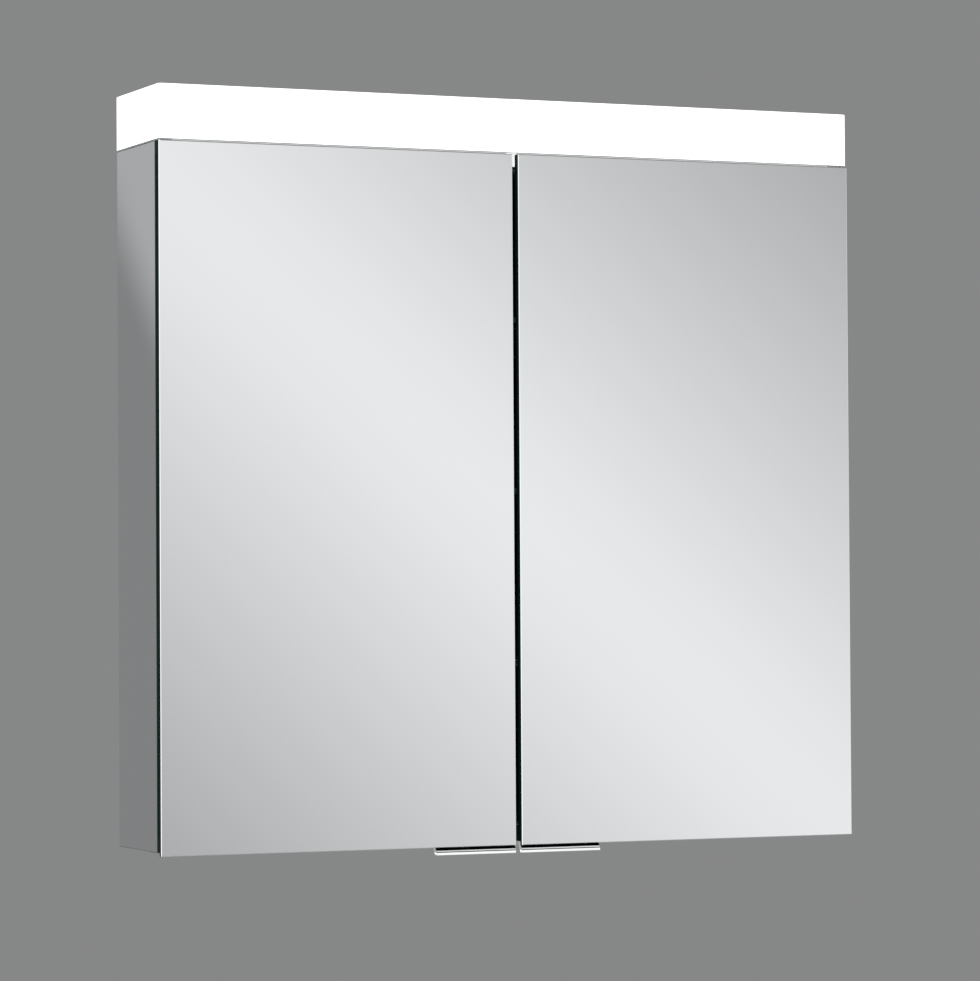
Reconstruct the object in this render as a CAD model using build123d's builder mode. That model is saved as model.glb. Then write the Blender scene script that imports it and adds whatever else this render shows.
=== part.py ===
from build123d import *
import os
from collections import namedtuple

# Surface-mounted bathroom cabinet with two mirrored doors and a full-width light bar on top.
# Frame: X to the right, Z up, and the wall is the plane Y = 0, with the doors facing -Y.
# The origin is the centre of the four wall screws.  All sizes are millimetres.

os.makedirs("parts", exist_ok=True)

Screw = namedtuple("Screw", "head_radius head_height shank_radius length")

# ---- Driving dimensions ------------------------------------------------------------------
# Overall
cabinet_width = 700.0
overall_height = 700.0  # tips of the handles to the top of the light bar
overall_depth = 120.0  # wall to the front of the doors
wall_standoff = 3.0  # the hanging blocks hold the carcass off the wall

# Doors: a front mirror and a rear mirror, bonded back to back
pane_thickness = 4.0
film_thickness = 0.5
pane_arris = 0.6
door_gap = 6.0
door_to_carcass = 2.0
door_to_bar = 1.7
front_pane_drop = 3.5  # the front mirror hangs below the rear one
rear_pane_lift = 0.5  # the rear mirror ends this far above the carcass's underside

# Handles: a lip under each door at its meeting edge
handle_length = 80.0
handle_drop = 7.0
handle_lead_in = 3.6  # the lip starts this far behind the door's front
handle_foot = 4.4  # depth of the lip at its lowest edge
handle_ridge_set_back = 1.1  # a narrow ridge runs along the lip, behind its nose
handle_ridge_drop = 2.7  # from the front mirror's lower edge to the ridge
handle_ridge_height = 1.2
handle_nose_height = 2.5
handle_nose_set_back = 0.2
handle_rounding = 0.3
handle_end_chamfer = 0.2

# Pivot hinges: a vertical pin at the top and bottom of each door's outer edge
pivot_from_edge = 3.0
pivot_radius = 1.25
pivot_clearance = 0.05
pivot_block_length = 20.0
pivot_block_height = 12.0
pivot_bore_depth = 9.0
pivot_pin_depth = 8.2
pivot_end_play = 0.1
washer_radius = 1.95
bracket_thickness = 1.1
bracket_to_bar = 0.2
bracket_reach = 32.0
bracket_inset = 1.0  # from the side panel's inner face

# Carcass
side_mirror_thickness = 4.0
side_thickness = 12.0
shelf_panel_thickness = 16.0  # the top and bottom panels
back_thickness = 4.0
back_mirror_thickness = 3.0
service_gap = 5.0  # behind the back panel, level with the carcass's rear edge
edge_rounding = 0.5

# Wall fixing
wall_hole_radius = 3.25
wall_hole_spacing_x = 600.0
wall_hole_spacing_z = 400.0
hanging_block_width = 40.0
hanging_block_height = 60.0

# Shelves and their supports
shelf_count = 3
shelf_thickness = 6.0
shelf_side_gap = 2.0
shelf_back_gap = 2.0
shelf_front_inset = 4.5
hole_pitch = 32.0
hole_margin = 74.0
hole_radius = 2.5
hole_depth = 9.0
support_pin_length = 8.0
support_clearance = 0.05
support_reach = 8.0
support_width = 7.0
support_front_inset = 32.0
support_back_inset = 26.0

# Magnetic catches and door stops, top and bottom near the meeting edges
catch_length = 34.0
catch_height = 12.0
catch_depth = 18.0
catch_from_middle = 14.0
catch_wall = 2.0
magnet_proud = 0.4
strike_thickness = 1.0
strike_length = 30.0
strike_height = 10.0
strike_clearance = 0.5
bumper_radius = 4.0
bumper_thickness = 1.5
bumper_from_middle = 66.0

# Light bar
bar_height = 49.5
diffuser_wall = 3.0
diffuser_lip = 14.0
diffuser_skirt_height = 12.5  # a lit strip that hangs in front of the top panel, behind the doors
diffuser_skirt_thickness = 1.2
diffuser_corner = 4.5
diffuser_edge = 0.8
bar_fit = 0.3
overcut = 1.0  # a cut through an open face starts this far outside it
tray_thickness = 1.5
carrier_thickness = 2.0
carrier_inset = 20.0
carrier_from_front = 38.0
carrier_height = 33.0
carrier_foot = 14.0
carrier_flange = 50.0
led_board_width = 16.0
led_board_thickness = 1.6
led_board_inset = 6.0
led_size = 4.0
led_height = 1.0
led_count = 26
driver_length = 150.0
driver_depth = 30.0
driver_height = 22.0
driver_gap = 4.0
terminal_length = 30.0
terminal_depth = 16.0
terminal_height = 14.0
terminal_poles = 3
terminal_screw_radius = 2.6

# Light under the cabinet
underlight_length = 400.0
underlight_width = 22.0
underlight_depth = 10.0
underlight_from_front = 42.0
underlight_lens_thickness = 2.5
underlight_led_count = 16

# Socket and switch box, in the top right corner
box_length = 140.0
box_height = 50.5
box_depth = 45.0
box_side_gap = 4.0
box_wall = 2.0
faceplate_thickness = 2.0
socket_radius = 21.5
socket_recess_radius = 19.5
socket_recess_depth = 17.5
socket_floor = 2.5
socket_flange = 2.0
socket_flange_proud = 1.0
socket_contact_radius = 2.6
socket_contact_spacing = 19.0
socket_from_box_end = 38.0
switch_from_box_end = 32.0
rocker_width = 11.0
rocker_height = 18.0
rocker_front = 3.0
rocker_back = 2.0
rocker_dish = 1.2
rocker_tilt = 8.0
rocker_clearance = 0.5
trunnion_radius = 1.5
trunnion_length = 1.6
trunnion_clearance = 0.05
switch_wall = 2.5
switch_depth = 14.0
switch_flange = 2.0
switch_flange_proud = 1.0

# Cable entry
grommet_radius = 7.0
grommet_flange = 2.5
grommet_flange_thickness = 1.5
grommet_bore_radius = 4.0
grommet_from_box_end = 20.0
lead_radius = 3.0
lead_clearance = 0.3

# Fasteners
panel_screw = Screw(3.5, 2.5, 2.5, 40.0)
bracket_screw = Screw(2.6, 0.6, 1.5, 11.0)
tray_screw = Screw(3.5, 2.2, 1.75, 12.0)
panel_screw_inset = 26.0  # from the carcass's rear edge
screw_clearance = 0.05
blind_hole_extra = 1.0  # a blind screw hole runs this far past the screw's tip
tray_screw_from_back = 18.0
tray_screw_spread = (-0.85, -0.3, 0.3, 0.85)  # shares of half the inside's width

# ---- Derived places ----------------------------------------------------------------------
half_width = cabinet_width / 2
top = overall_height / 2
bar_bottom = top - bar_height
door_top = bar_bottom - door_to_bar
handle_tip = -overall_height / 2
door_bottom = handle_tip + handle_drop
rear_pane_bottom = door_bottom + front_pane_drop
carcass_bottom = rear_pane_bottom - rear_pane_lift
side_top = bar_bottom - bracket_to_bar - bracket_thickness

door_front = -overall_depth
door_thickness = 2 * pane_thickness + film_thickness
front_pane_back = door_front + pane_thickness
rear_pane_front = front_pane_back + film_thickness
door_back = door_front + door_thickness
carcass_front = door_back + door_to_carcass
carcass_back = -wall_standoff

side_outer = half_width - side_mirror_thickness
inner_half = side_outer - side_thickness
cavity_bottom = carcass_bottom + shelf_panel_thickness
cavity_top = bar_bottom - shelf_panel_thickness
back_rear = carcass_back - service_gap
back_front = back_rear - back_thickness
mirror_front = back_front - back_mirror_thickness

pivot_x = half_width - pivot_from_edge
pivot_y = (front_pane_back + door_back) / 2
block_bottom = rear_pane_bottom - pivot_end_play
leaf_inner = door_gap / 2

hole_count = int((cavity_top - cavity_bottom - 2 * hole_margin) // hole_pitch) + 1
first_hole = (cavity_bottom + cavity_top - (hole_count - 1) * hole_pitch) / 2
support_ys = (carcass_front + support_front_inset, mirror_front - support_back_inset)
carcass_y = (carcass_front, carcass_back)
inside_x = (-inner_half, inner_half)
SIDES = (("left", -1), ("right", 1))


def save(builder, node):
    """Label a finished piece and write it to its own file."""
    builder.part.label = node
    export_step(builder.part, f"parts/{node}.step")


def slab(x, y, z, mode=Mode.ADD):
    """Add, or cut, the block that spans three (low, high) ranges in the open part."""
    ranges = (x, y, z)
    with Locations(tuple(sum(r) / 2 for r in ranges)):
        return Box(*(abs(r[1] - r[0]) for r in ranges), mode=mode)


def disc(plane, radius, height, mode=Mode.ADD):
    """Add, or cut, a cylinder that rises from a plane along its normal."""
    with BuildSketch(plane) as circle:
        Circle(radius)
    return extrude(circle.sketch, amount=height, mode=mode)


def upright(x, y, z, direction=1):
    """Horizontal plane at a point, facing up, or down if the direction is -1."""
    return Plane(origin=(x, y, z), x_dir=(1, 0, 0), z_dir=(0, 0, direction))


def sideways(x, y, z, sign):
    """Vertical plane at a point, facing right, or left if the sign is -1."""
    return Plane(origin=(x, y, z), x_dir=(0, 1, 0), z_dir=(sign, 0, 0))


def forwards(x, y, z):
    """Vertical plane at a point, facing the doors' side."""
    return Plane(origin=(x, y, z), x_dir=(1, 0, 0), z_dir=(0, -1, 0))


def fastener(plane, screw, clearance=0.0, mode=Mode.ADD):
    """Screw whose head starts on the plane; with a clearance and a cut, the hole that it needs."""
    disc(plane, screw.head_radius + clearance, screw.head_height, mode)
    disc(plane, screw.shank_radius + clearance, screw.length + clearance, mode)


def on_side(sign, low, high):
    """Range of X on one side of the middle, from its distances to the middle."""
    return tuple(sorted((sign * low, sign * high)))


def shelf_support_z(number):
    """Height of the support holes nearest to an even division of the inside."""
    even = cavity_bottom + number * (cavity_top - cavity_bottom) / (shelf_count + 1)
    return first_hole + round((even - first_hole) / hole_pitch) * hole_pitch


# ---- Carcass -----------------------------------------------------------------------------
panel_levels = (
    (carcass_bottom, cavity_bottom),
    (cavity_top, bar_bottom),
)
panel_screw_ys = (
    carcass_front + bracket_reach + 2 * panel_screw.head_radius,
    carcass_back - panel_screw_inset,
)


def panel_screw_planes(sign):
    """Planes on a side panel's outer face, one for each screw, facing into the carcass."""
    return [
        sideways(sign * side_outer, y, (low + high) / 2, -sign)
        for y in panel_screw_ys
        for low, high in panel_levels
    ]


def bracket_screw_planes(sign, level, direction):
    """Planes for the two screws of a pivot bracket, at the middle of the side panel."""
    x = sign * (side_outer - side_thickness / 2)
    ys = (carcass_front + bracket_reach / 4, carcass_front + bracket_reach * 3 / 4)
    return [upright(x, y, level, direction) for y in ys]


bracket_levels = (
    ("bottom", carcass_bottom - bracket_thickness, 1),
    ("top", side_top + bracket_thickness, -1),
)

for side, sign in SIDES:
    with BuildPart() as side_panel:
        slab(on_side(sign, inner_half, side_outer), carcass_y, (carcass_bottom, side_top))
        front_edges = side_panel.faces().sort_by(Axis.Y)[0].edges()
        chamfer(front_edges.filter_by(Axis.Z), edge_rounding)
        for row in range(hole_count):
            for y in support_ys:
                spot = sideways(sign * inner_half, y, first_hole + row * hole_pitch, sign)
                disc(spot, hole_radius, hole_depth, Mode.SUBTRACT)
        for spot in panel_screw_planes(sign):
            fastener(spot, panel_screw, screw_clearance, Mode.SUBTRACT)
        for _, level, direction in bracket_levels:
            for spot in bracket_screw_planes(sign, level, direction):
                disc(spot, bracket_screw.shank_radius + screw_clearance,
                     bracket_screw.length + blind_hole_extra, Mode.SUBTRACT)
    save(side_panel, f"{side}_side_panel")

    with BuildPart() as side_mirror:
        slab(on_side(sign, side_outer, half_width), carcass_y, (carcass_bottom, side_top))
        outer = side_mirror.faces().sort_by(Axis.X)[0 if sign < 0 else -1]
        chamfer(outer.edges(), pane_arris)
    save(side_mirror, f"{side}_side_mirror")

tray_screw_xs = [share * inner_half for share in tray_screw_spread]
tray_level = bar_bottom + tray_thickness
tray_screw_y = carcass_back - tray_screw_from_back
box_x = (inner_half - box_side_gap - box_length, inner_half - box_side_gap)
lead_x = box_x[0] + grommet_from_box_end
lead_y = mirror_front - box_depth / 2

with BuildPart() as top_panel:
    slab(inside_x, carcass_y, (cavity_top, bar_bottom))
    chamfer(top_panel.faces().sort_by(Axis.Y)[0].edges().filter_by(Axis.X), edge_rounding)
    for sign in (-1, 1):
        for spot in panel_screw_planes(sign):
            disc(spot, panel_screw.shank_radius + screw_clearance,
                 panel_screw.length + blind_hole_extra, Mode.SUBTRACT)
    for x in tray_screw_xs:
        spot = upright(x, tray_screw_y, bar_bottom, -1)
        disc(spot, tray_screw.shank_radius + screw_clearance, tray_screw.length, Mode.SUBTRACT)
    disc(upright(lead_x, lead_y, cavity_top), lead_radius + lead_clearance,
         shelf_panel_thickness, Mode.SUBTRACT)
save(top_panel, "top_panel")

underlight_y = carcass_front + underlight_from_front
underlight_range = (underlight_y - underlight_width / 2, underlight_y + underlight_width / 2)
underlight_x = (-underlight_length / 2, underlight_length / 2)

with BuildPart() as bottom_panel:
    slab(inside_x, carcass_y, (carcass_bottom, cavity_bottom))
    chamfer(bottom_panel.faces().sort_by(Axis.Y)[0].edges().filter_by(Axis.X), edge_rounding)
    slab(underlight_x, underlight_range, (carcass_bottom, carcass_bottom + underlight_depth), Mode.SUBTRACT)
    for sign in (-1, 1):
        for spot in panel_screw_planes(sign):
            disc(spot, panel_screw.shank_radius + screw_clearance,
                 panel_screw.length + blind_hole_extra, Mode.SUBTRACT)
save(bottom_panel, "bottom_panel")

with BuildPart() as carcass_screws:
    for sign in (-1, 1):
        for spot in panel_screw_planes(sign):
            fastener(spot, panel_screw)
save(carcass_screws, "carcass_screws")

wall_plane = forwards(0, 0, 0)
grommet_x = box_x[1] - grommet_from_box_end
grommet_z = cavity_top - box_height / 2


def cut_wall_holes(depth):
    """Cut the four wall screw holes, from the wall plane forwards."""
    with BuildSketch(wall_plane) as holes:
        with GridLocations(wall_hole_spacing_x, wall_hole_spacing_z, 2, 2):
            Circle(wall_hole_radius)
    extrude(holes.sketch, amount=depth, mode=Mode.SUBTRACT)


def cut_cable_hole(y, depth):
    """Cut the grommet's hole, from a plane of constant Y forwards."""
    disc(forwards(grommet_x, y, grommet_z), grommet_radius, depth, Mode.SUBTRACT)


with BuildPart() as back_panel:
    slab(inside_x, (back_front, back_rear), (cavity_bottom, cavity_top))
    cut_wall_holes(-mirror_front)
    cut_cable_hole(back_rear, back_thickness)
save(back_panel, "back_panel")

with BuildPart() as back_mirror:
    slab(inside_x, (mirror_front, back_front), (cavity_bottom, cavity_top))
    cut_wall_holes(-mirror_front)
    cut_cable_hole(back_front, back_mirror_thickness)
save(back_mirror, "back_mirror")

with BuildPart() as hanging_blocks:
    with BuildSketch(wall_plane) as block_faces:
        with GridLocations(wall_hole_spacing_x, wall_hole_spacing_z, 2, 2):
            RectangleRounded(hanging_block_width, hanging_block_height, 4 * edge_rounding)
            Circle(wall_hole_radius, mode=Mode.SUBTRACT)
    extrude(amount=-back_rear)
save(hanging_blocks, "hanging_blocks")

# ---- Shelves -----------------------------------------------------------------------------
shelf_y = (carcass_front + shelf_front_inset, mirror_front - shelf_back_gap)
shelf_half = inner_half - shelf_side_gap

for number, level in enumerate(("lower", "middle", "upper"), start=1):
    shelf_bottom = shelf_support_z(number) + hole_radius
    with BuildPart() as shelf:
        slab((-shelf_half, shelf_half), shelf_y, (shelf_bottom, shelf_bottom + shelf_thickness))
        fillet(shelf.edges().filter_by(Axis.Z), 4 * edge_rounding)
        chamfer(shelf.faces().sort_by(Axis.Z)[-1].edges(), edge_rounding)
    save(shelf, f"{level}_glass_shelf")

with BuildPart() as shelf_supports:
    for number in range(1, shelf_count + 1):
        z = shelf_support_z(number)
        for _, sign in SIDES:
            for y in support_ys:
                spot = sideways(sign * inner_half, y, z, sign)
                disc(spot, hole_radius - support_clearance, support_pin_length)
                slab(
                    on_side(sign, inner_half - support_reach, inner_half),
                    (y - support_width / 2, y + support_width / 2),
                    (z - hole_radius, z + hole_radius),
                )
save(shelf_supports, "shelf_supports")

# ---- Doors -------------------------------------------------------------------------------
block_levels = (
    (block_bottom, block_bottom + pivot_block_height),
    (door_top - pivot_block_height, door_top),
)

for side, sign in SIDES:
    leaf_x = on_side(sign, leaf_inner, half_width)
    block_x = on_side(sign, half_width - pivot_block_length, half_width)

    with BuildPart() as front_mirror:
        slab(leaf_x, (door_front, front_pane_back), (door_bottom, door_top))
        chamfer(front_mirror.faces().sort_by(Axis.Y)[0].edges(), pane_arris)
    save(front_mirror, f"{side}_door_front_mirror")

    with BuildPart() as bonding_film:
        slab(leaf_x, (front_pane_back, rear_pane_front), (rear_pane_bottom, door_top))
        for z in block_levels:
            slab(block_x, (front_pane_back, rear_pane_front), z, Mode.SUBTRACT)
    save(bonding_film, f"{side}_door_bonding_film")

    with BuildPart() as rear_mirror:
        slab(leaf_x, (rear_pane_front, door_back), (rear_pane_bottom, door_top))
        chamfer(rear_mirror.faces().sort_by(Axis.Y)[-1].edges(), pane_arris / 2)
        for z in block_levels:
            slab(block_x, (rear_pane_front, door_back), z, Mode.SUBTRACT)
    save(rear_mirror, f"{side}_door_rear_mirror")

    with BuildPart() as pivot_blocks:
        for z in block_levels:
            slab(block_x, (front_pane_back, door_back), z)
        lower_bore = upright(sign * pivot_x, pivot_y, block_levels[0][0])
        upper_bore = upright(sign * pivot_x, pivot_y, block_levels[1][1], -1)
        for bore in (lower_bore, upper_bore):
            disc(bore, pivot_radius + pivot_clearance, pivot_bore_depth, Mode.SUBTRACT)
    save(pivot_blocks, f"{side}_door_pivot_blocks")

    # The lip leans forwards as it goes down, with a ridge above its rounded nose.
    ridge_y = door_front + handle_ridge_set_back
    nose_y = door_front + handle_nose_set_back
    ridge_z = door_bottom - handle_ridge_drop
    nose_z = handle_tip + handle_nose_height
    with BuildPart() as handle:
        with BuildSketch(Plane.YZ.offset(leaf_x[1] - handle_length if sign < 0 else leaf_x[0])):
            with BuildLine():
                Polyline(
                    (front_pane_back, rear_pane_bottom),
                    (door_back, rear_pane_bottom),
                    (door_back, door_bottom),
                    (door_front + handle_foot, handle_tip),
                    (nose_y, handle_tip),
                    (nose_y, nose_z),
                    (ridge_y, ridge_z - handle_ridge_height),
                    (ridge_y, ridge_z),
                    (door_front + handle_lead_in, door_bottom),
                    (front_pane_back, door_bottom),
                    close=True,
                )
            face = make_face()
            fillet(face.vertices().filter_by_position(Axis.Y, handle_tip, nose_z), handle_rounding)
        extrude(amount=handle_length)
        chamfer(handle.faces().filter_by(Axis.X).edges(), handle_end_chamfer)
    save(handle, f"{side}_door_handle")

    with BuildPart() as strike_plates:
        middle = catch_from_middle + catch_length / 2
        for z in (cavity_bottom + catch_height / 2, cavity_top - catch_height / 2):
            slab(
                on_side(sign, middle - strike_length / 2, middle + strike_length / 2),
                (door_back, door_back + strike_thickness),
                (z - strike_height / 2, z + strike_height / 2),
            )
        fillet(strike_plates.edges().filter_by(Axis.Y), 2 * edge_rounding)
    save(strike_plates, f"{side}_door_strike_plates")

# ---- Pivot hardware on the carcass -------------------------------------------------------
for side, sign in SIDES:
    for name, head_level, direction in bracket_levels:
        # The plate lies on the side panel's end and carries a round eye for the pin.
        plate_low = min(head_level, head_level + direction * bracket_thickness)
        with BuildPart() as bracket:
            disc(upright(sign * pivot_x, pivot_y, plate_low), washer_radius, bracket_thickness)
            slab(
                on_side(sign, inner_half + bracket_inset, pivot_x),
                (pivot_y, carcass_front + bracket_reach),
                (plate_low, plate_low + bracket_thickness),
            )
            disc(upright(sign * pivot_x, pivot_y, plate_low), pivot_radius,
                 bracket_thickness, Mode.SUBTRACT)
            for spot in bracket_screw_planes(sign, head_level, direction):
                fastener(spot, bracket_screw, screw_clearance, Mode.SUBTRACT)
        save(bracket, f"{side}_{name}_pivot_bracket")

    with BuildPart() as pivot_pins:
        for _, head_level, direction in bracket_levels:
            reach = block_levels[0][0] if direction > 0 else block_levels[1][1]
            spot = upright(sign * pivot_x, pivot_y, head_level, direction)
            disc(spot, pivot_radius, abs(reach - head_level) + pivot_pin_depth)
    save(pivot_pins, f"{side}_pivot_pins")

with BuildPart() as pivot_washers:
    for _, sign in SIDES:
        for base, gap_end, direction in (
            (carcass_bottom, block_levels[0][0], 1),
            (side_top, block_levels[1][1], -1),
        ):
            spot = upright(sign * pivot_x, pivot_y, base, direction)
            height = abs(gap_end - base) - pivot_end_play
            disc(spot, washer_radius, height)
            disc(spot, pivot_radius + pivot_clearance, height, Mode.SUBTRACT)
save(pivot_washers, "pivot_washers")

with BuildPart() as bracket_screws:
    for _, sign in SIDES:
        for _, head_level, direction in bracket_levels:
            for spot in bracket_screw_planes(sign, head_level, direction):
                fastener(spot, bracket_screw)
save(bracket_screws, "pivot_bracket_screws")

# ---- Catches and stops -------------------------------------------------------------------
catch_front = door_back + strike_thickness + strike_clearance
magnet_half = catch_length / 2 - 2 * catch_wall
catch_levels = (
    (cavity_bottom, cavity_bottom + catch_height),
    (cavity_top - catch_height, cavity_top),
)

with BuildPart() as catch_housings:
    for _, sign in SIDES:
        for z in catch_levels:
            middle = sign * (catch_from_middle + catch_length / 2)
            slab(on_side(sign, catch_from_middle, catch_from_middle + catch_length),
                 (catch_front + magnet_proud, catch_front + catch_depth), z)
            slab((middle - magnet_half, middle + magnet_half),
                 (catch_front + magnet_proud, catch_front + catch_depth / 2),
                 (z[0] + catch_wall, z[1] - catch_wall), Mode.SUBTRACT)
save(catch_housings, "catch_housings")

with BuildPart() as catch_magnets:
    for _, sign in SIDES:
        for z in catch_levels:
            middle = sign * (catch_from_middle + catch_length / 2)
            slab((middle - magnet_half, middle + magnet_half),
                 (catch_front, catch_front + catch_depth / 2),
                 (z[0] + catch_wall, z[1] - catch_wall))
save(catch_magnets, "catch_magnets")


def bumper_plane(sign, low, high):
    """Plane of a door bumper's foot, on the front of a panel between two heights."""
    return forwards(sign * bumper_from_middle, carcass_front, (low + high) / 2)


with BuildPart() as door_bumpers:
    for _, sign in SIDES:
        for low, high in panel_levels:
            disc(bumper_plane(sign, low, high), bumper_radius, bumper_thickness)
    fillet(door_bumpers.faces().filter_by(Axis.Y).group_by(Axis.Y)[0].edges(), 2 * edge_rounding)
save(door_bumpers, "door_bumpers")

# ---- Light bar ---------------------------------------------------------------------------
inner_bar_half = half_width - diffuser_wall
lip_back = door_front + diffuser_lip

with BuildPart() as diffuser:
    slab((-half_width, half_width), (door_front, carcass_back), (bar_bottom, top))
    front_face = diffuser.faces().sort_by(Axis.Y)[0]
    fillet(front_face.edges().filter_by(Axis.Z), diffuser_corner)
    fillet(diffuser.faces().sort_by(Axis.Z)[-1].edges(), diffuser_edge)
    slab((-inner_bar_half, inner_bar_half), (door_front + diffuser_wall, carcass_back + overcut),
         (bar_bottom + diffuser_wall, top - diffuser_wall), Mode.SUBTRACT)
    slab((-inner_bar_half, inner_bar_half), (lip_back, carcass_back + overcut),
         (bar_bottom - overcut, bar_bottom + diffuser_wall), Mode.SUBTRACT)
    slab(inside_x, (carcass_front - diffuser_skirt_thickness, carcass_front),
         (bar_bottom - diffuser_skirt_height, bar_bottom))
    for _, sign in SIDES:
        disc(bumper_plane(sign, *panel_levels[-1]), bumper_radius + bar_fit,
             diffuser_skirt_thickness, Mode.SUBTRACT)
save(diffuser, "light_diffuser")

tray_half = inner_bar_half - bar_fit
tray_front = lip_back + bar_fit
wall_top = top - diffuser_wall - bar_fit

with BuildPart() as tray:
    slab((-tray_half, tray_half), (tray_front, carcass_back), (bar_bottom, tray_level))
    slab((-tray_half, tray_half), (carcass_back - tray_thickness, carcass_back), (bar_bottom, wall_top))
    for x in tray_screw_xs:
        spot = upright(x, tray_screw_y, tray_level, -1)
        disc(spot, tray_screw.shank_radius + screw_clearance, tray_thickness, Mode.SUBTRACT)
    disc(upright(lead_x, lead_y, bar_bottom), lead_radius + lead_clearance,
         tray_thickness, Mode.SUBTRACT)
save(tray, "light_base_tray")

with BuildPart() as tray_screws:
    for x in tray_screw_xs:
        spot = upright(x, tray_screw_y, tray_level)
        disc(spot, tray_screw.head_radius, tray_screw.head_height)
        disc(upright(x, tray_screw_y, tray_level, -1), tray_screw.shank_radius, tray_screw.length)
save(tray_screws, "light_bar_screws")

# A folded strip carries the LED boards: a foot on the tray, a web and a rearward flange.
web_front = door_front + carrier_from_front
web_back = web_front + carrier_thickness
flange_top = tray_level + carrier_height
flange_back = web_front + carrier_flange
carrier_half = tray_half - carrier_inset

with BuildPart() as led_carrier:
    with BuildSketch(Plane.YZ.offset(-carrier_half)):
        with BuildLine():
            Polyline(
                (web_front - carrier_foot, tray_level),
                (web_back, tray_level),
                (web_back, flange_top - carrier_thickness),
                (flange_back, flange_top - carrier_thickness),
                (flange_back, flange_top),
                (web_front, flange_top),
                (web_front, tray_level + carrier_thickness),
                (web_front - carrier_foot, tray_level + carrier_thickness),
                close=True,
            )
        make_face()
    extrude(amount=2 * carrier_half)
save(led_carrier, "led_carrier")

board_half = carrier_half - led_board_inset
led_pitch = 2 * board_half / led_count
front_board = forwards(0, web_front, (tray_level + flange_top) / 2)
top_board = upright(0, web_front + carrier_flange / 2, flange_top)

for name, face in (("front", front_board), ("top", top_board)):
    with BuildPart() as led_board:
        with BuildSketch(face):
            Rectangle(2 * board_half, led_board_width)
        extrude(amount=led_board_thickness)
    save(led_board, f"{name}_led_board")

    with BuildPart() as leds:
        with BuildSketch(face.offset(led_board_thickness)):
            with GridLocations(led_pitch, led_size, led_count, 1):
                Rectangle(led_size, led_size)
        extrude(amount=led_height)
    save(leds, f"{name}_leds")

driver_y = (web_back + driver_gap, web_back + driver_gap + driver_depth)
with BuildPart() as driver:
    slab((-driver_length / 2, driver_length / 2), driver_y, (tray_level, tray_level + driver_height))
    fillet(driver.edges().filter_by(Axis.Z), 4 * edge_rounding)
    fillet(driver.faces().sort_by(Axis.Z)[-1].edges(), 2 * edge_rounding)
save(driver, "led_driver")

terminal_x = lead_x + 2 * lead_radius + terminal_length / 2
terminal_top = tray_level + terminal_height
with BuildPart() as terminal_block:
    slab((terminal_x - terminal_length / 2, terminal_x + terminal_length / 2),
         (lead_y - terminal_depth / 2, lead_y + terminal_depth / 2), (tray_level, terminal_top))
    with BuildSketch(upright(terminal_x, lead_y, terminal_top)):
        with GridLocations(terminal_length / terminal_poles, terminal_depth / 2, terminal_poles, 2):
            Circle(terminal_screw_radius)
    extrude(amount=-terminal_height / 2, mode=Mode.SUBTRACT)
save(terminal_block, "terminal_block")

with BuildPart() as lead:
    disc(upright(lead_x, lead_y, cavity_top), lead_radius,
         terminal_top - terminal_height / 2 - cavity_top)
save(lead, "internal_supply_lead")

# ---- Light under the cabinet -------------------------------------------------------------
with BuildPart() as underlight_lens:
    slab(underlight_x, underlight_range, (carcass_bottom, carcass_bottom + underlight_lens_thickness))
    fillet(underlight_lens.faces().sort_by(Axis.Z)[0].edges().filter_by(Axis.X), 2 * edge_rounding)
save(underlight_lens, "underlight_lens")

recess_top = carcass_bottom + underlight_depth
with BuildPart() as underlight_board:
    slab((underlight_x[0] + led_board_inset, underlight_x[1] - led_board_inset),
         (underlight_range[0] + led_size, underlight_range[1] - led_size),
         (recess_top - led_board_thickness, recess_top))
save(underlight_board, "underlight_led_board")

with BuildPart() as underlight_leds:
    with BuildSketch(upright(0, underlight_y, recess_top - led_board_thickness, -1)):
        with GridLocations((underlight_length - 4 * led_board_inset) / underlight_led_count, led_size,
                           underlight_led_count, 1):
            Rectangle(led_size, led_size)
    extrude(amount=led_height)
save(underlight_leds, "underlight_leds")

# ---- Socket and switch box ---------------------------------------------------------------
box_z = (cavity_top - box_height, cavity_top)
box_front = mirror_front - box_depth
box_middle = (box_z[0] + box_z[1]) / 2
socket_x = box_x[0] + socket_from_box_end
switch_x = box_x[1] - switch_from_box_end
face_front = box_front - faceplate_thickness
rocker_half = (rocker_width / 2, rocker_height / 2)
switch_half_x = rocker_half[0] + rocker_clearance + switch_wall
switch_half_z = rocker_half[1] + 2 * rocker_clearance + switch_wall
axis_y = face_front - switch_flange_proud + rocker_front
switch_x_range = (switch_x - switch_half_x, switch_x + switch_half_x)
switch_z_range = (box_middle - switch_half_z, box_middle + switch_half_z)
socket_face = forwards(socket_x, face_front, box_middle)

with BuildPart() as power_box:
    slab(box_x, (box_front, mirror_front), box_z)
    slab((box_x[0] + box_wall, box_x[1] - box_wall), (box_front, mirror_front - box_wall),
         (box_z[0] + box_wall, box_z[1] - box_wall), Mode.SUBTRACT)
    cut_cable_hole(mirror_front, box_wall)
    disc(upright(lead_x, lead_y, cavity_top - box_wall), lead_radius + lead_clearance,
         box_wall, Mode.SUBTRACT)
save(power_box, "power_box")

with BuildPart() as faceplate:
    slab(box_x, (face_front, box_front), box_z)
    fillet(faceplate.edges().filter_by(Axis.Y), 4 * edge_rounding)
    fillet(faceplate.faces().sort_by(Axis.Y)[0].edges(), edge_rounding)
    disc(socket_face, socket_radius, -faceplate_thickness, Mode.SUBTRACT)
    slab(switch_x_range, (face_front, box_front), switch_z_range, Mode.SUBTRACT)
save(faceplate, "power_box_faceplate")

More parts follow.
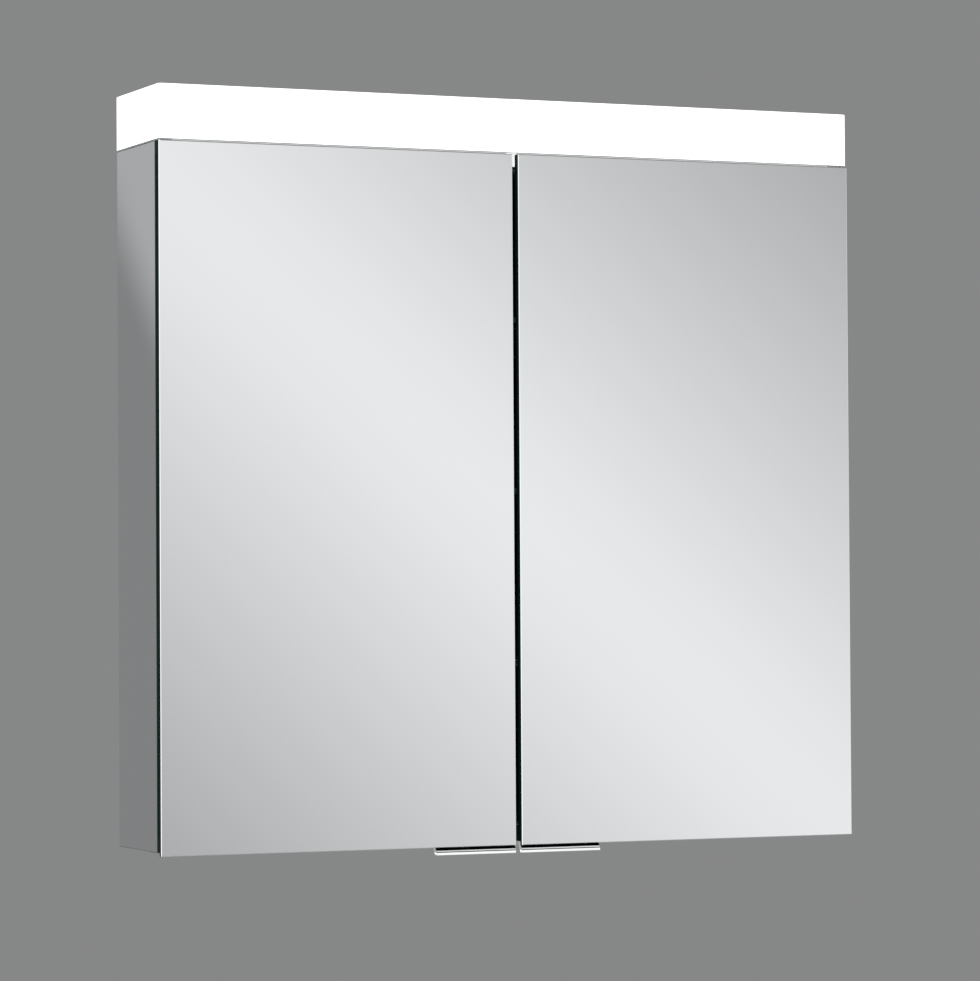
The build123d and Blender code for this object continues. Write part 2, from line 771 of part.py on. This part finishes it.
with BuildPart() as socket_insert:
    rim = socket_face.offset(socket_flange_proud)
    disc(rim, socket_radius + socket_flange, -socket_flange_proud)
    disc(rim, socket_radius, -socket_recess_depth - socket_floor)
    disc(rim, socket_recess_radius, -socket_recess_depth, Mode.SUBTRACT)
    with BuildSketch(rim.offset(-socket_recess_depth)):
        with GridLocations(socket_contact_spacing, socket_contact_spacing, 2, 1):
            Circle(socket_contact_radius)
    extrude(amount=-socket_floor, mode=Mode.SUBTRACT)
    fillet(socket_insert.faces().sort_by(Axis.Y)[0].outer_wire().edges(), edge_rounding)
save(socket_insert, "socket_insert")

# The rocker turns on two trunnions; the housing has a blind bore for each.
opening_x = rocker_half[0] + rocker_clearance
opening_z = rocker_half[1] + 2 * rocker_clearance
with BuildPart() as switch_housing:
    slab((switch_x_range[0] - switch_flange, switch_x_range[1] + switch_flange),
         (face_front - switch_flange_proud, face_front),
         (switch_z_range[0] - switch_flange, switch_z_range[1] + switch_flange))
    slab(switch_x_range, (face_front, face_front + switch_depth), switch_z_range)
    fillet(switch_housing.faces().sort_by(Axis.Y)[0].edges(), edge_rounding)
    slab((switch_x - opening_x, switch_x + opening_x),
         (face_front - switch_flange_proud, face_front + switch_depth - switch_wall),
         (box_middle - opening_z, box_middle + opening_z), Mode.SUBTRACT)
    for sign in (-1, 1):
        spot = sideways(switch_x + sign * opening_x, axis_y, box_middle, sign)
        disc(spot, trunnion_radius + trunnion_clearance, trunnion_length, Mode.SUBTRACT)
save(switch_housing, "switch_housing")

# At rest the rocker is pressed at its upper end, which is on.
rocker_plane = sideways(switch_x - rocker_half[0], axis_y, box_middle, 1)
with BuildPart() as rocker:
    with BuildSketch(rocker_plane.rotated((0, 0, -rocker_tilt))):
        with BuildLine():
            Polyline(
                (-rocker_front, -rocker_half[1]),
                (-rocker_front + rocker_dish, 0),
                (-rocker_front, rocker_half[1]),
                (rocker_back, rocker_half[1]),
                (rocker_back, -rocker_half[1]),
                close=True,
            )
        face = make_face()
        rows = face.vertices().group_by(Axis.Y)
        fillet(rows[0] + rows[-1], edge_rounding)
    extrude(amount=rocker_width)
    for sign in (-1, 1):
        spot = sideways(switch_x + sign * rocker_half[0], axis_y, box_middle, sign)
        disc(spot, trunnion_radius, trunnion_length)
save(rocker, "switch_rocker")

# ---- Cable entry -------------------------------------------------------------------------
with BuildPart() as grommet:
    grommet_back = forwards(grommet_x, back_rear + grommet_flange_thickness, grommet_z)
    grommet_length = grommet_flange_thickness + back_rear - mirror_front + box_wall
    disc(grommet_back, grommet_radius, grommet_length)
    disc(grommet_back, grommet_radius + grommet_flange, grommet_flange_thickness)
    disc(grommet_back, grommet_bore_radius, grommet_length, Mode.SUBTRACT)
save(grommet, "cable_grommet")
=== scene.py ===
import math

import bpy
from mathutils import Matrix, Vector


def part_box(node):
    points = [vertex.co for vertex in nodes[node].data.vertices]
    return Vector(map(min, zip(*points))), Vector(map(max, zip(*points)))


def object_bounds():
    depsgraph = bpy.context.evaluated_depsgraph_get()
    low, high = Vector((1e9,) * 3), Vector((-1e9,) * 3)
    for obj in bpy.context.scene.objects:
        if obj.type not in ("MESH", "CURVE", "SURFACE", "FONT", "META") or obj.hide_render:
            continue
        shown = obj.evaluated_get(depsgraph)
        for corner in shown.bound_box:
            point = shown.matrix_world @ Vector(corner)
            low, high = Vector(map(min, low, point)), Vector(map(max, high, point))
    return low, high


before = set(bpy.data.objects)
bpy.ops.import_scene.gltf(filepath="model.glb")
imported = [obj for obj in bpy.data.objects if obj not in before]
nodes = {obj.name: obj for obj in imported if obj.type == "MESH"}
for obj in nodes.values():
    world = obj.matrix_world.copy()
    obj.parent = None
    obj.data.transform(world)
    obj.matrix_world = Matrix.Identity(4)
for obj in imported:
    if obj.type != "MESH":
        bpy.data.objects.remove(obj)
cad_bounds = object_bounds()
low = Vector(cad_bounds[0])


# ---- Node helpers --------------------------------------------------------------------------
class Graph:
    """A small shader-node builder. add returns a node, and the calls built on it an output."""

    def __init__(self, tree):
        self.tree = tree
        tree.nodes.clear()

    def add(self, kind, inputs=None, **settings):
        """Adds one node and returns the node itself."""
        node = self.tree.nodes.new("ShaderNode" + kind)
        for key, value in settings.items():
            setattr(node, key, value)
        for key, value in (inputs or {}).items():
            self.feed(node.inputs[key], value)
        return node

    def feed(self, socket, value):
        if isinstance(value, bpy.types.NodeSocket):
            self.tree.links.new(value, socket)
        elif isinstance(value, bpy.types.Node):
            self.tree.links.new(value.outputs[0], socket)
        else:
            socket.default_value = value

    def math(self, operation, a, b=0.0, clamp=False):
        return self.add("Math", {0: a, 1: b}, operation=operation, use_clamp=clamp).outputs[0]

    def remap(self, value, low_in, high_in, low_out, high_out):
        """Eases a value from one range to another, and holds it at the ends."""
        inputs = {
            "Value": value,
            "From Min": low_in,
            "From Max": high_in,
            "To Min": low_out,
            "To Max": high_out,
        }
        return self.add("MapRange", inputs, interpolation_type="SMOOTHSTEP").outputs[0]

    def mix(self, factor, a, b):
        """Colour a where the factor is 0 and b where it is 1."""
        node = self.add("Mix", data_type="RGBA")
        self.feed(node.inputs["Factor"], factor)
        self.feed(node.inputs[6], a)
        self.feed(node.inputs[7], b)
        return node.outputs[2]

    def choose(self, factor, a, b):
        """Number a where the factor is 0 and b where it is 1."""
        return self.add("Mix", {0: factor, 2: a, 3: b}, data_type="FLOAT").outputs[0]

    def noise(self, scale, detail=3.0, roughness=0.5, stretch=None):
        """Noise in the object's own metres; stretch squeezes it along each axis."""
        place = self.add("TexCoord").outputs["Object"]
        if stretch:
            place = self.add("Mapping", {"Vector": place, "Scale": stretch}).outputs[0]
        inputs = {"Vector": place, "Scale": scale, "Detail": detail, "Roughness": roughness}
        return self.add("TexNoise", inputs).outputs[0]

    def bump(self, height, distance, strength=1.0, normal=None):
        inputs = {"Height": height, "Distance": distance, "Strength": strength}
        if normal is not None:
            inputs["Normal"] = normal
        return self.add("Bump", inputs).outputs[0]


def grey(value, warm=0.0):
    """A linear grey, warmer or cooler by a small amount."""
    return (value * (1 + warm), value, value * (1 - warm), 1.0)


def green_grey(value):
    """A linear grey with the faint green of float glass."""
    return (value * 0.96, value, value * 0.99, 1.0)


def material(name, build):
    """A node material whose surface shader is what build returns."""
    made = bpy.data.materials.new(name)
    made.use_nodes = True
    graph = Graph(made.node_tree)
    surface = build(graph)
    graph.add("OutputMaterial", {"Surface": surface})
    return made


def dress(made, *names):
    """Gives CAD nodes a material."""
    for name in names:
        data = nodes[name].data
        data.materials.clear()
        data.materials.append(made)


# ---- Materials -----------------------------------------------------------------------------
# Shares of a unit normal: a face looks along an axis above FACE_SHARE, an arris above
# ARRIS_SHARE, and an arris is upright while the normal's Z stays below UPRIGHT_SHARE.
FACE_SHARE, ARRIS_SHARE, UPRIGHT_SHARE = 0.93, 0.3, 0.3
# Arris glow and levels are painted light: the bright, glowing door arris is a painted highlight on a
# pale ground arris, and the near-black side arris is painted shade.
ARRIS_PAINTED_GLOW = 0.75  # glow of an upright arris, for an arris level of 1
DOOR_ARRIS_PAINTED_HIGHLIGHT, SIDE_ARRIS_PAINTED_SHADE = 0.90, 0.03


def silvered_glass(graph, facing, painted_arris_level):
    """Silvered glass: a mirror on the faces along one axis, a ground arris and dark green edges.

    facing is the axis of the object's own normal that the silvered faces look along, and
    the arris level is how bright the arris is painted: high for a painted highlight, low for
    painted shade. An upright arris also glows a little, which is a painted highlight.
    """
    normal = graph.add("SeparateXYZ", {0: graph.add("TexCoord").outputs["Normal"]})
    square = graph.math("ABSOLUTE", normal.outputs[facing])
    upright = graph.math("LESS_THAN", graph.math("ABSOLUTE", normal.outputs["Z"]), UPRIGHT_SHARE)
    is_face = graph.math("GREATER_THAN", square, FACE_SHARE)
    is_arris = graph.math("GREATER_THAN", square, ARRIS_SHARE)
    haze = graph.remap(graph.noise(9.0, 4.0), 0.35, 0.75, 0.012, 0.03)
    silver = graph.add("BsdfPrincipled", {
        "Base Color": graph.mix(graph.noise(3.0, 2.0), grey(0.865, -0.004), grey(0.885, -0.006)),
        "Metallic": 1.0,
        "Roughness": haze,
    })
    streak = graph.noise(160.0, 3.0, stretch=(1.0, 1.0, 0.15))
    edge = graph.add("BsdfPrincipled", {
        "Base Color": graph.mix(streak, (0.006, 0.018, 0.013, 1), (0.011, 0.031, 0.024, 1)),
        "Roughness": graph.remap(streak, 0.3, 0.7, 0.22, 0.38),
        "Specular IOR Level": 0.0,
    })
    # The arris's brightness and its glow are painted light, set by the arris level: painted highlight
    # on the doors, painted shade on the side mirrors.
    arris = graph.add("BsdfPrincipled", {
        "Base Color": graph.mix(streak, green_grey(0.9 * painted_arris_level), green_grey(painted_arris_level)),
        "Metallic": 0.9,
        "Roughness": graph.remap(streak, 0.3, 0.7, 0.16, 0.26),
        "Emission Color": green_grey(1.0),
        "Emission Strength": graph.math("MULTIPLY", upright, ARRIS_PAINTED_GLOW * painted_arris_level),
    })
    sides = graph.add("MixShader", {0: is_arris, 1: edge, 2: arris})
    return graph.add("MixShader", {0: is_face, 1: sides, 2: silver})


def board(graph):
    """White faced board with a satin texture; its front edge has a dark edging band."""
    fine = graph.noise(1400.0, 2.0)
    broad = graph.noise(14.0, 3.0)
    normal = graph.add("NewGeometry").outputs["True Normal"]
    facing = graph.add("SeparateXYZ", {0: normal}).outputs["Y"]
    edging = graph.math("LESS_THAN", facing, -0.9)
    white = graph.mix(broad, (0.70, 0.70, 0.69, 1), (0.76, 0.76, 0.75, 1))
    return graph.add("BsdfPrincipled", {
        "Base Color": graph.mix(edging, white, graph.mix(fine, grey(0.018), grey(0.026))),
        "Specular IOR Level": graph.choose(edging, 0.5, 0.1),
        "Roughness": graph.remap(broad, 0.3, 0.7, 0.36, 0.46),
        "Normal": graph.bump(fine, 0.00004, 0.5),
    })


def metal(base, rough, grain, stretch, depth=0.00002):
    """Brushed or polished metal; the grain is a stretched noise."""
    def build(graph):
        lines = graph.noise(grain, 4.0, 0.6, stretch)
        return graph.add("BsdfPrincipled", {
            "Base Color": graph.mix(lines, tuple(0.9 * c for c in base) + (1,), tuple(base) + (1,)),
            "Metallic": 1.0,
            "Roughness": graph.remap(lines, 0.25, 0.75, rough * 0.8, rough * 1.25),
            "Normal": graph.bump(lines, depth, 0.6),
        })
    return build


def dark_lacquer(graph):
    """Nearly black green paint, as dark as the edge of the glass beside it."""
    fine = graph.noise(700.0, 3.0)
    return graph.add("BsdfPrincipled", {
        "Base Color": graph.mix(fine, (0.006, 0.018, 0.013, 1), (0.010, 0.028, 0.021, 1)),
        "Roughness": graph.remap(fine, 0.3, 0.7, 0.34, 0.48),
        "Specular IOR Level": 0.04,
    })


NOSE_HEIGHT = 0.0026
NOSE_LIFT = 0.27  # how far up the nose's shading normal is pushed
# A step's normal has more Z than the first of these, and a wall's has less than the second.
STEP_SLOPE, WALL_SLOPE = 0.4, 0.9


def handle_chrome(nose_level):
    """Polished chrome whose step faces are painted nearly black as painted shade.

    On the walls below nose_level only the shading normal is tilted up, so they catch the light.
    """
    def build(graph):
        shape = graph.add("NewGeometry")
        height = graph.add("SeparateXYZ", {0: shape.outputs["Position"]}).outputs["Z"]
        slope = graph.add("SeparateXYZ", {0: shape.outputs["True Normal"]}).outputs["Z"]
        upright = graph.math("LESS_THAN", graph.math("ABSOLUTE", slope), WALL_SLOPE)
        nose = graph.math("MULTIPLY", upright, graph.math("LESS_THAN", height, nose_level))
        lift = graph.add("CombineXYZ", {"Z": graph.math("MULTIPLY", nose, NOSE_LIFT)})
        lean = graph.add("VectorMath", {0: shape.outputs["Normal"], 1: lift}, operation="ADD")
        normal = graph.add("VectorMath", {0: lean}, operation="NORMALIZE").outputs[0]
        lines = graph.noise(260.0, 3.0, 0.6, (0.08, 1.0, 1.0))
        # The step faces are painted nearly black: painted shade in the handle's grooves.
        step = graph.math("GREATER_THAN", slope, STEP_SLOPE)
        return graph.add("BsdfPrincipled", {
            "Base Color": graph.mix(step, graph.mix(lines, grey(0.86), grey(0.93)), grey(0.04)),
            "Metallic": 1.0,
            "Roughness": graph.remap(lines, 0.25, 0.75, 0.04, 0.07),
            "Normal": normal,
        })
    return build


def recessed_screws(centre_x, first_y, pitch_y, arm, half_width):
    """Zinc plated heads, each with a cross recess at its middle, painted nearly black as painted shade
    and pressed in by a bump.

    The screws stand in mirrored columns at centre_x, pitch_y apart from first_y.
    """
    def build(graph):
        place = graph.add("SeparateXYZ", {0: graph.add("NewGeometry").outputs["Position"]})
        column = graph.math("SUBTRACT", graph.math("ABSOLUTE", place.outputs["X"]), centre_x)
        across = graph.math("ABSOLUTE", column)
        from_first = graph.math("SUBTRACT", place.outputs["Y"], first_y)
        along = graph.math("PINGPONG", from_first, pitch_y / 2)
        narrow = graph.math("LESS_THAN", graph.math("MINIMUM", across, along), half_width)
        short = graph.math("LESS_THAN", graph.math("MAXIMUM", across, along), arm)
        cross = graph.math("MULTIPLY", narrow, short)
        lines = graph.noise(900.0, 3.0)
        return graph.add("BsdfPrincipled", {
            # The cross recess is painted nearly black: painted shade in the recess.
            "Base Color": graph.mix(cross, graph.mix(lines, grey(0.5), grey(0.6)), grey(0.03)),
            "Metallic": 1.0,
            "Roughness": graph.remap(lines, 0.3, 0.7, 0.22, 0.36),
            "Normal": graph.bump(graph.math("SUBTRACT", 1.0, cross), 0.0003, 0.8),
        })
    return build


def plastic(base, rough, texture_scale, depth, coat=0.0):
    """Moulded plastic or rubber with a fine spark-eroded texture."""
    def build(graph):
        fine = graph.noise(texture_scale, 3.0)
        broad = graph.noise(40.0, 2.0)
        return graph.add("BsdfPrincipled", {
            "Base Color": graph.mix(broad, tuple(0.93 * c for c in base) + (1,), tuple(base) + (1,)),
            "Roughness": graph.remap(broad, 0.3, 0.7, rough * 0.88, rough * 1.12),
            "Normal": graph.bump(fine, depth, 0.6),
            "Coat Weight": coat,
            "Coat Roughness": 0.12,
        })
    return build


BAR_GLOW, BAR_UNDERSIDE_GLOW, SKIRT_GLOW, LENS_GLOW = 1.0, 0.19, 0.62, 1.0
# The border is a band of painted shade along the top of the skirt.
SHADE_BORDER_HEIGHT = 0.0024
SHADE_BORDER_FROM_MIDDLE = 0.005  # the border leaves this much free on each side of the door gap's middle
SKIRT_BELOW_BAR = 0.0002  # keeps the bar's own underside out of the skirt


def opal(strength, underside, skirt, skirt_top):
    """Lit opal acrylic: even white light with the faintest cloudiness, under a satin skin.

    The faces that look down glow less and are painted a darker grey as painted shade, and the
    skirt below the level skirt_top glows less. A dark band along the top of the skirt, painted
    shade for the shadow line above the doors, glows as little as the underside and is painted
    the same darker grey, except at the gap between the doors.
    """
    def build(graph):
        cloud = graph.noise(26.0, 2.0)
        shape = graph.add("NewGeometry")
        place = graph.add("SeparateXYZ", {0: shape.outputs["Position"]})
        height = place.outputs["Z"]
        slope = graph.add("SeparateXYZ", {0: shape.outputs["True Normal"]}).outputs["Z"]
        down = graph.math("LESS_THAN", slope, -0.5)
        on_skirt = graph.math("LESS_THAN", height, skirt_top)
        upper = graph.math("GREATER_THAN", height, skirt_top - SHADE_BORDER_HEIGHT)
        from_middle = graph.math("ABSOLUTE", place.outputs["X"])
        beside_gap = graph.math("GREATER_THAN", from_middle, SHADE_BORDER_FROM_MIDDLE)
        # The border band is painted shade above the doors' top edges.
        shade_border = graph.math("MULTIPLY", graph.math("MULTIPLY", on_skirt, upper), beside_gap)
        glow = graph.choose(down, strength, underside)
        glow = graph.choose(on_skirt, glow, skirt)
        glow = graph.choose(shade_border, glow, underside)
        return graph.add("BsdfPrincipled", {
            # Down faces and the border band are painted darker grey: painted shade.
            "Base Color": graph.mix(graph.math("MAXIMUM", down, shade_border),
                                    graph.mix(cloud, grey(0.86), grey(0.9)), grey(0.34)),
            "Roughness": graph.remap(cloud, 0.3, 0.7, 0.28, 0.36),
            "Emission Color": graph.mix(cloud, (0.965, 0.985, 1.0, 1), (1.0, 1.0, 1.0, 1)),
            "Emission Strength": glow,
        })
    return build


def shelf_glass(graph):
    """Clear float glass whose long edges are ground and green."""
    normal = graph.add("SeparateXYZ", {0: graph.add("TexCoord").outputs["Normal"]}).outputs["Z"]
    flat = graph.math("GREATER_THAN", graph.math("ABSOLUTE", normal), 0.5)
    ground = graph.noise(500.0, 2.0, stretch=(0.2, 1.0, 1.0))
    clear = graph.add("BsdfPrincipled", {
        "Base Color": (0.93, 0.98, 0.96, 1),
        "Roughness": graph.remap(graph.noise(12.0), 0.4, 0.8, 0.0, 0.02),
        "Transmission Weight": 1.0,
        "IOR": 1.5,
    })
    edge = graph.add("BsdfPrincipled", {
        "Base Color": graph.mix(ground, (0.10, 0.30, 0.23, 1), (0.24, 0.48, 0.40, 1)),
        "Roughness": graph.remap(ground, 0.3, 0.7, 0.18, 0.34),
        "Transmission Weight": 0.35,
        "IOR": 1.5,
    })
    return graph.add("MixShader", {0: flat, 1: edge, 2: clear})


def circuit_board(graph):
    """White solder mask with faint copper tracks under it."""
    place = graph.add("TexCoord").outputs["Object"]
    wave = {"Vector": place, "Scale": 60.0, "Distortion": 0.0}
    tracks = graph.add("TexWave", wave, wave_type="BANDS", bands_direction="X").outputs[0]
    line = graph.math("GREATER_THAN", tracks, 0.9)
    return graph.add("BsdfPrincipled", {
        "Base Color": graph.mix(line, (0.80, 0.81, 0.79, 1), (0.70, 0.69, 0.62, 1)),
        "Roughness": 0.3,
        "Normal": graph.bump(tracks, 0.00002, 0.3),
    })


def phosphor(graph):
    """Lit LED: yellow phosphor that glows white."""
    spots = graph.noise(700.0, 2.0)
    return graph.add("BsdfPrincipled", {
        "Base Color": graph.mix(spots, (0.88, 0.74, 0.22, 1), (0.94, 0.82, 0.34, 1)),
        "Roughness": 0.35,
        "Emission Color": (1.0, 0.97, 0.88, 1),
        "Emission Strength": 6.0,
    })


SCREW_HEAD_RADIUS, CROSS_ARM, CROSS_HALF_WIDTH = 0.0026, 0.0015, 0.0003
bar_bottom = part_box("light_base_tray")[0].z

door_mirror = material("door_mirror", lambda g: silvered_glass(g, "Y", DOOR_ARRIS_PAINTED_HIGHLIGHT))
side_mirror = material("side_mirror", lambda g: silvered_glass(g, "X", SIDE_ARRIS_PAINTED_SHADE))
white_board = material("white_board", board)
back_board = material("back_board", plastic((0.34, 0.34, 0.335), 0.6, 900.0, 0.00005))
film = material("bonding_film", plastic((0.012, 0.013, 0.014), 0.5, 600.0, 0.00003))
chrome = material("chrome", metal((0.80, 0.81, 0.83), 0.055, 260.0, (0.08, 1.0, 1.0), 0.000004))
lip_chrome = material("lip_chrome", handle_chrome(low.z + NOSE_HEIGHT))
zinc = material("zinc_steel", metal((0.60, 0.61, 0.62), 0.26, 420.0, (1.0, 1.0, 0.3)))
aluminium = material("satin_aluminium", metal((0.66, 0.67, 0.68), 0.32, 500.0, (0.03, 1.0, 1.0)))
nylon = material("white_nylon", plastic((0.74, 0.74, 0.72), 0.42, 1200.0, 0.00003))
silicone = material("silicone", plastic((0.55, 0.56, 0.56), 0.3, 700.0, 0.00002, 0.3))
lacquer = material("dark_lacquer", dark_lacquer)
magnet = material("ferrite", plastic((0.03, 0.03, 0.033), 0.5, 1500.0, 0.00004))
white_plastic = material("white_plastic", plastic((0.76, 0.76, 0.75), 0.26, 1600.0, 0.00001, 0.25))
grey_plastic = material("grey_plastic", plastic((0.10, 0.105, 0.11), 0.5, 1300.0, 0.00005))
rubber = material("black_rubber", plastic((0.02, 0.02, 0.021), 0.62, 900.0, 0.00004))
screw_low, screw_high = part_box("pivot_bracket_screws")
bracket_screws = material("bracket_screws", recessed_screws(
    screw_high.x - SCREW_HEAD_RADIUS, screw_low.y + SCREW_HEAD_RADIUS,
    screw_high.y - screw_low.y - 2 * SCREW_HEAD_RADIUS, CROSS_ARM, CROSS_HALF_WIDTH))
lit_bar = material("lit_diffuser", opal(
    BAR_GLOW, BAR_UNDERSIDE_GLOW, SKIRT_GLOW, bar_bottom - SKIRT_BELOW_BAR))
lit_lens = material("lit_lens", opal(LENS_GLOW, LENS_GLOW, LENS_GLOW, low.z))
glass = material("shelf_glass", shelf_glass)
pcb = material("led_board", circuit_board)
led = material("led", phosphor)

for side in ("left", "right"):
    dress(door_mirror, f"{side}_door_front_mirror", f"{side}_door_rear_mirror")
    dress(side_mirror, f"{side}_side_mirror")
    dress(white_board, f"{side}_side_panel")
    dress(film, f"{side}_door_bonding_film")
    dress(lip_chrome, f"{side}_door_handle")
    dress(lacquer, f"{side}_door_pivot_blocks")
    dress(zinc, f"{side}_door_strike_plates", f"{side}_pivot_pins",
          f"{side}_top_pivot_bracket", f"{side}_bottom_pivot_bracket")
dress(door_mirror, "back_mirror")
dress(white_board, "top_panel", "bottom_panel")
dress(back_board, "back_panel")
dress(glass, "lower_glass_shelf", "middle_glass_shelf", "upper_glass_shelf")
dress(chrome, "shelf_supports")
dress(zinc, "carcass_screws", "light_bar_screws")
dress(bracket_screws, "pivot_bracket_screws")
dress(nylon, "pivot_washers", "catch_housings", "terminal_block")
dress(magnet, "catch_magnets")
dress(silicone, "door_bumpers")
dress(grey_plastic, "hanging_blocks")
dress(lit_bar, "light_diffuser")
dress(lit_lens, "underlight_lens")
dress(aluminium, "light_base_tray", "led_carrier")
dress(pcb, "front_led_board", "top_led_board", "underlight_led_board")
dress(led, "front_leds", "top_leds", "underlight_leds")
dress(white_plastic, "led_driver", "internal_supply_lead", "power_box", "power_box_faceplate",
      "socket_insert", "switch_housing", "switch_rocker")
dress(rubber, "cable_grommet")


# ---- Studio --------------------------------------------------------------------------------
def rotation_basis(yaw, pitch, roll):
    """Right, up and forward of a camera that looks along +Y before it turns by angles in degrees."""
    yaw, pitch, roll = (math.radians(angle) for angle in (yaw, pitch, roll))
    flat = math.cos(pitch)
    forward = Vector((math.sin(yaw) * flat, math.cos(yaw) * flat, math.sin(pitch)))
    right = Vector((math.cos(yaw), -math.sin(yaw), 0.0))
    up = right.cross(forward)
    turned_right = right * math.cos(roll) + up * math.sin(roll)
    return turned_right, turned_right.cross(forward), forward


YAW, PITCH, ROLL = 23.71, 1.41, -0.33
DISTANCE = 3.831
LENS = 151.4
TARGET_BELOW_DOOR_TOP = 0.2918
CAMERA_LEFT, CAMERA_DOWN = 0.0251, 0.0212  # in the camera's own directions
right, up, forward = rotation_basis(YAW, PITCH, ROLL)


def make_camera():
    """Camera to the left of the cabinet and a little below its middle, looking slightly up."""
    door_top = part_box("left_door_front_mirror")[1].z
    target = Vector((0.0, low.y, door_top - TARGET_BELOW_DOOR_TOP))
    place = target - forward * DISTANCE - right * CAMERA_LEFT - up * CAMERA_DOWN
    camera = bpy.data.objects.new("camera", bpy.data.cameras.new("camera"))
    camera.data.lens = LENS
    bpy.context.scene.collection.objects.link(camera)
    columns = (right, up, -forward)
    for row in range(3):
        for column in range(3):
            camera.matrix_world[row][column] = columns[column][row]
    camera.matrix_world.translation = place
    bpy.context.scene.camera = camera


# Directions and grey levels of the studio. A direction is compared by its dot product.
DOORS_LOOK = (0.402, -0.915, 0.0)  # the photograph's view, as the doors reflect it
FRONT_STARTS, FRONT_FULL = 0.35, 0.9
RIDGE_AXIS = (-0.6228, -0.2930, -0.7248)  # square to the plane that the bright ridge lies in
RIDGE_HALF_WIDTH, RIDGE_SOFTENING, RIDGE_POWER = 0.113, 0.014, 1.15
FRONT_LEVEL, RIDGE_LEVEL = 0.455, 0.47
REAR_SLANT = (-2.6, 0.0, 1.0)
SLANT_STARTS, SLANT_FULL = 0.900, 0.929
REAR_LEVEL, SLANT_LEVEL = 0.243, 0.19
NOSE_SOFTBOX = (0.36, -0.76, 0.54)
SOFTBOX_STARTS, SOFTBOX_FULL, SOFTBOX_LEVEL = 0.965, 0.993, 0.7
RED_SHARE, BLUE_SHARE = 0.992, 1.01


def make_world():
    """A soft grey studio all round, with one bright ridge where the doors look."""
    world = bpy.data.worlds.new("studio")
    world.use_nodes = True
    bpy.context.scene.world = world
    graph = Graph(world.node_tree)
    direction = graph.add("TexCoord").outputs["Generated"]

    def along(axis):
        parts = {0: direction, 1: tuple(axis)}
        return graph.add("VectorMath", parts, operation="DOT_PRODUCT").outputs["Value"]

    across = along(Vector(RIDGE_AXIS).normalized())
    squared = graph.math("ADD", graph.math("MULTIPLY", across, across), RIDGE_SOFTENING ** 2)
    off_ridge = graph.math("SUBTRACT", graph.math("SQRT", squared), RIDGE_SOFTENING)
    share = graph.math("DIVIDE", off_ridge, RIDGE_HALF_WIDTH)
    ridge = graph.math("POWER", graph.math("SUBTRACT", 1.0, share, clamp=True), RIDGE_POWER)
    front = graph.remap(along(DOORS_LOOK), FRONT_STARTS, FRONT_FULL, 0.0, 1.0)
    # Behind, a brighter part starts above a slanting edge, which the side mirror shows.
    slant = graph.remap(along(REAR_SLANT), SLANT_STARTS, SLANT_FULL, 0.0, 1.0)
    rear_level = graph.math("ADD", REAR_LEVEL, graph.math("MULTIPLY", slant, SLANT_LEVEL))
    front_level = graph.math("ADD", FRONT_LEVEL, graph.math("MULTIPLY", ridge, RIDGE_LEVEL))
    level = graph.math("ADD", graph.math("MULTIPLY", rear_level, graph.math("SUBTRACT", 1.0, front)),
                       graph.math("MULTIPLY", front_level, front))
    # A small softbox high in front on the right, whose image lights up the nose of the handles.
    softbox = along(Vector(NOSE_SOFTBOX).normalized())
    lobe = graph.remap(softbox, SOFTBOX_STARTS, SOFTBOX_FULL, 0.0, SOFTBOX_LEVEL)
    level = graph.math("ADD", level, lobe)
    colour = graph.add("CombineColor", {
        0: graph.math("MULTIPLY", level, RED_SHARE),
        1: level,
        2: graph.math("MULTIPLY", level, BLUE_SHARE),
    }).outputs[0]
    shader = graph.add("Background", {"Color": colour, "Strength": 1.0})
    graph.add("OutputWorld", {"Surface": shader})


def make_light(name, place, size, power, aim):
    """A square softbox aimed at a point. The mirrors don't show it."""
    data = bpy.data.lights.new(name, "AREA")
    data.energy, data.size = power, size
    light = bpy.data.objects.new(name, data)
    bpy.context.scene.collection.objects.link(light)
    light.location = place
    light.rotation_euler = (Vector(aim) - Vector(place)).to_track_quat("-Z", "Y").to_euler()
    light.visible_glossy = False


def make_floor():
    """A plain pale round floor, well below the hung cabinet."""
    radius, drop, rings, sectors = 2.6, 0.55, 24, 96
    verts = [(0.0, 0.0, 0.0)]
    faces = []
    for ring in range(1, rings + 1):
        for sector in range(sectors):
            angle = 2 * math.pi * sector / sectors
            reach = radius * ring / rings
            verts.append((reach * math.cos(angle), reach * math.sin(angle), 0.0))
    for sector in range(sectors):
        faces.append((0, 1 + sector, 1 + (sector + 1) % sectors))
    for ring in range(rings - 1):
        inner, outer = 1 + ring * sectors, 1 + (ring + 1) * sectors
        for sector in range(sectors):
            following = (sector + 1) % sectors
            faces.append((inner + sector, outer + sector, outer + following, inner + following))
    mesh = bpy.data.meshes.new("floor")
    mesh.from_pydata(verts, [], faces)
    floor = bpy.data.objects.new("floor", mesh)
    floor.location = (0.0, -0.06, low.z - drop)
    bpy.context.scene.collection.objects.link(floor)
    floor.data.materials.append(material("pale_floor", plastic((0.62, 0.62, 0.615), 0.7, 60.0, 0.0002)))


bpy.context.scene.view_settings.view_transform = "Standard"
make_camera()
make_world()
make_floor()
make_light("key", (-1.9, -1.9, 1.9), 1.4, 45.0, (0.0, 0.0, 0.0))
make_light("fill", (2.2, 1.6, 1.6), 1.6, 30.0, (0.0, 0.0, 0.0))
